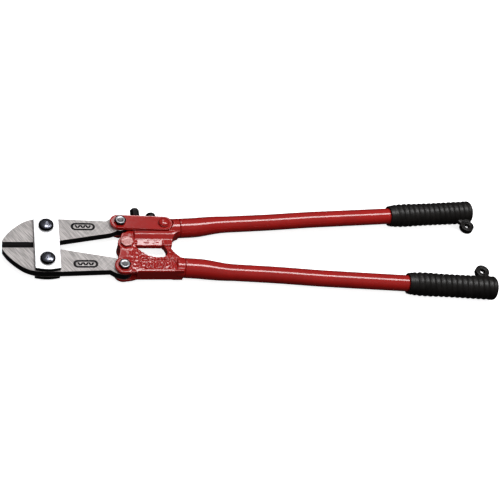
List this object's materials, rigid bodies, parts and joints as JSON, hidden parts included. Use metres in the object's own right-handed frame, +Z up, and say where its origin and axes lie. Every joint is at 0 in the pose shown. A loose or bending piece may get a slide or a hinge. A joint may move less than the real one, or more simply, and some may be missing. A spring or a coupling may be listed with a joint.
{
  "type": "bolt cutters",
  "caption": "Long-handled compound-lever cutter: two pivoting jaws clamped between steel plates, adjustable toggle handles and ribbed rubber grips.",
  "frame": {"origin": "centre of the outline's bounding box, on the plane the tool rests on, with the jaws closed", "axes": "+X from the jaw tips to the grips, +Y towards the upper handle with the adjusting screw, +Z up out of the resting plane along the pivot bolts"},
  "size_m": [0.6221, 0.1558, 0.032],
  "materials": {
    "jaw_steel": "ground alloy steel with fine diagonal grinding lines",
    "plate_steel": "bright nickel plate",
    "dark_chrome": "polished dark chrome",
    "red_casting": "gloss red paint over rough cast steel",
    "red_tube": "smooth gloss red paint",
    "black_oxide": "blackened steel with bright worn edges",
    "grip_rubber": "satin moulded rubber"
  },
  "bodies": {
    "clamp": {"front_clamp_plate": "plate_steel", "rear_clamp_plate": "plate_steel", "upper_clamp_bolt": "dark_chrome", "upper_clamp_nut": "dark_chrome", "lower_clamp_bolt": "dark_chrome", "lower_clamp_nut": "dark_chrome"},
    "upper_jaw": {"upper_jaw": "jaw_steel"},
    "lower_jaw": {"lower_jaw": "jaw_steel"},
    "centre_pivot": {"centre_pivot_bolt": "red_casting", "centre_pivot_nut": "red_casting"},
    "upper_handle": {"upper_handle_casting": "red_casting", "upper_handle_tube": "red_tube", "upper_grip": "grip_rubber", "link_rivet": "red_casting", "cap_screw": "black_oxide"},
    "adjusting_screw": {"adjusting_screw": "black_oxide"},
    "adjusting_link": {"front_link": "red_casting", "rear_link": "red_casting", "adjuster_block": "black_oxide", "adjuster_lock_nut": "black_oxide", "upper_tail_bolt": "black_oxide", "upper_tail_nut": "black_oxide"},
    "lower_handle": {"lower_handle_casting": "red_casting", "lower_handle_tube": "red_tube", "lower_grip": "grip_rubber", "lower_tail_bolt": "black_oxide", "lower_tail_nut": "black_oxide"}
  },
  "joints": [
    {"name": "centre_slide", "type": "slide", "parent": "clamp", "child": "centre_pivot", "axis": [1, 0, 0], "range_m": [0, 0.0252]},
    {"name": "upper_handle_swing", "type": "hinge", "parent": "centre_pivot", "child": "upper_handle", "pos_m": [-0.1647, 0, 0.0155], "axis": [0, 0, 1], "range_deg": [0, 50]},
    {"name": "lower_handle_swing", "type": "hinge", "parent": "centre_pivot", "child": "lower_handle", "pos_m": [-0.1647, 0, 0.0155], "axis": [0, 0, 1], "range_deg": [-50.5, 0]},
    {"name": "upper_jaw_pivot", "type": "hinge", "parent": "clamp", "child": "upper_jaw", "pos_m": [-0.2595, 0.0245, 0.0155], "axis": [0, 0, 1], "range_deg": [-9, 0]},
    {"name": "lower_jaw_pivot", "type": "hinge", "parent": "clamp", "child": "lower_jaw", "pos_m": [-0.2595, -0.0245, 0.0155], "axis": [0, 0, 1], "range_deg": [0, 9]},
    {"name": "adjusting_screw_turn", "type": "hinge", "parent": "upper_handle", "child": "adjusting_screw", "pos_m": [-0.1488, 0, 0.0155], "axis": [0, 1, 0], "range_deg": [-180, 180]},
    {"name": "adjusting_link_swing", "type": "hinge", "parent": "upper_handle", "child": "adjusting_link", "pos_m": [-0.116, 0.031, 0.0155], "axis": [0, 0, 1], "range_deg": [-1.1, 1.1]}
  ],
  "couplings": [
    {"joint": "lower_handle_swing", "follows": "upper_handle_swing", "ratio": -1},
    {"joint": "centre_slide", "follows": "upper_handle_swing", "m_per_rad": 0.0286},
    {"joint": "upper_jaw_pivot", "follows": "upper_handle_swing", "ratio": -0.1776},
    {"joint": "lower_jaw_pivot", "follows": "upper_handle_swing", "ratio": 0.1776},
    {"joint": "adjusting_link_swing", "follows": "adjusting_screw_turn", "ratio": 0.006}
  ]
}
